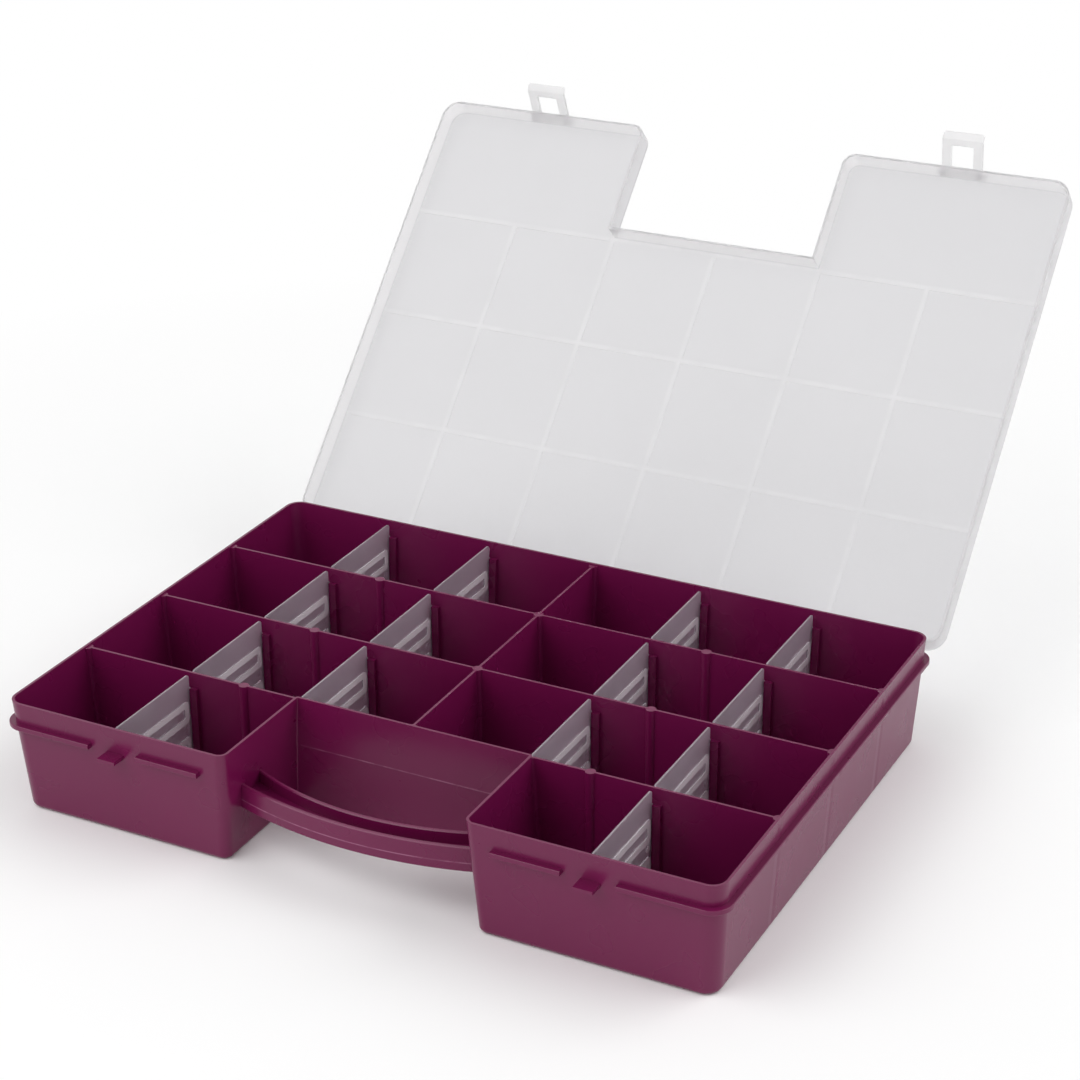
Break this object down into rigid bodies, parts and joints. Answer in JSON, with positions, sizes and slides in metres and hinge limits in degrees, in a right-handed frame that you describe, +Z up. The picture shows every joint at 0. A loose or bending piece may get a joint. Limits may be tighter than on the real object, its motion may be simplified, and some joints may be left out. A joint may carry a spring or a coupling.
{
  "type": "organizer box",
  "caption": "Flat carrying case for small parts: walled tray with lift-out dividers, carry handle in a front recess, and a hinged translucent lid held shut by loop latches.",
  "frame": {"origin": "middle of the tray's footprint, on the surface that it stands on", "axes": "+Z up, -Y to the front with the handle, +X to the right seen from the front"},
  "size_m": [0.3744, 0.4633, 0.2542],
  "materials": {
    "tray_plastic": "semi-gloss moulded polypropylene, dark berry",
    "lid_plastic": "translucent natural polypropylene",
    "divider_plastic": "translucent natural polypropylene"
  },
  "bodies": {
    "tray_body": {"tray": "tray_plastic", "carry_handle": "tray_plastic"},
    "lid_body": {"lid": "lid_plastic"},
    "latch_left_body": {"latch_left": "lid_plastic"},
    "latch_right_body": {"latch_right": "lid_plastic"},
    "divider_front_left_body": {"divider_front_left": "divider_plastic"},
    "divider_front_right_body": {"divider_front_right": "divider_plastic"},
    "divider_second_outer_left_body": {"divider_second_outer_left": "divider_plastic"},
    "divider_second_inner_left_body": {"divider_second_inner_left": "divider_plastic"},
    "divider_second_inner_right_body": {"divider_second_inner_right": "divider_plastic"},
    "divider_second_outer_right_body": {"divider_second_outer_right": "divider_plastic"},
    "divider_third_outer_left_body": {"divider_third_outer_left": "divider_plastic"},
    "divider_third_inner_left_body": {"divider_third_inner_left": "divider_plastic"},
    "divider_third_inner_right_body": {"divider_third_inner_right": "divider_plastic"},
    "divider_third_outer_right_body": {"divider_third_outer_right": "divider_plastic"},
    "divider_back_outer_left_body": {"divider_back_outer_left": "divider_plastic"},
    "divider_back_inner_left_body": {"divider_back_inner_left": "divider_plastic"},
    "divider_back_inner_right_body": {"divider_back_inner_right": "divider_plastic"},
    "divider_back_outer_right_body": {"divider_back_outer_right": "divider_plastic"}
  },
  "joints": [
    {"name": "lid_hinge", "type": "hinge", "parent": "tray_body", "child": "lid_body", "pos_m": [0, 0.1332, 0.0475], "axis": [-1, 0, 0], "range_deg": [-134, 0]},
    {"name": "latch_left_hinge", "type": "hinge", "parent": "lid_body", "child": "latch_left_body", "pos_m": [-0.1235, 0.32596, 0.23113], "axis": [-1, 0, 0], "range_deg": [-24, 66]},
    {"name": "latch_right_hinge", "type": "hinge", "parent": "lid_body", "child": "latch_right_body", "pos_m": [0.1235, 0.32596, 0.23113], "axis": [-1, 0, 0], "range_deg": [-40, 50]},
    {"name": "lift_divider_front_left", "type": "slide", "parent": "tray_body", "child": "divider_front_left_body", "axis": [0, 0, 1], "range_m": [0, 0.06]},
    {"name": "lift_divider_front_right", "type": "slide", "parent": "tray_body", "child": "divider_front_right_body", "axis": [0, 0, 1], "range_m": [0, 0.06]},
    {"name": "lift_divider_second_outer_left", "type": "slide", "parent": "tray_body", "child": "divider_second_outer_left_body", "axis": [0, 0, 1], "range_m": [0, 0.06]},
    {"name": "lift_divider_second_inner_left", "type": "slide", "parent": "tray_body", "child": "divider_second_inner_left_body", "axis": [0, 0, 1], "range_m": [0, 0.06]},
    {"name": "lift_divider_second_inner_right", "type": "slide", "parent": "tray_body", "child": "divider_second_inner_right_body", "axis": [0, 0, 1], "range_m": [0, 0.06]},
    {"name": "lift_divider_second_outer_right", "type": "slide", "parent": "tray_body", "child": "divider_second_outer_right_body", "axis": [0, 0, 1], "range_m": [0, 0.06]},
    {"name": "lift_divider_third_outer_left", "type": "slide", "parent": "tray_body", "child": "divider_third_outer_left_body", "axis": [0, 0, 1], "range_m": [0, 0.06]},
    {"name": "lift_divider_third_inner_left", "type": "slide", "parent": "tray_body", "child": "divider_third_inner_left_body", "axis": [0, 0, 1], "range_m": [0, 0.06]},
    {"name": "lift_divider_third_inner_right", "type": "slide", "parent": "tray_body", "child": "divider_third_inner_right_body", "axis": [0, 0, 1], "range_m": [0, 0.06]},
    {"name": "lift_divider_third_outer_right", "type": "slide", "parent": "tray_body", "child": "divider_third_outer_right_body", "axis": [0, 0, 1], "range_m": [0, 0.06]},
    {"name": "lift_divider_back_outer_left", "type": "slide", "parent": "tray_body", "child": "divider_back_outer_left_body", "axis": [0, 0, 1], "range_m": [0, 0.06]},
    {"name": "lift_divider_back_inner_left", "type": "slide", "parent": "tray_body", "child": "divider_back_inner_left_body", "axis": [0, 0, 1], "range_m": [0, 0.06]},
    {"name": "lift_divider_back_inner_right", "type": "slide", "parent": "tray_body", "child": "divider_back_inner_right_body", "axis": [0, 0, 1], "range_m": [0, 0.06]},
    {"name": "lift_divider_back_outer_right", "type": "slide", "parent": "tray_body", "child": "divider_back_outer_right_body", "axis": [0, 0, 1], "range_m": [0, 0.06]}
  ]
}
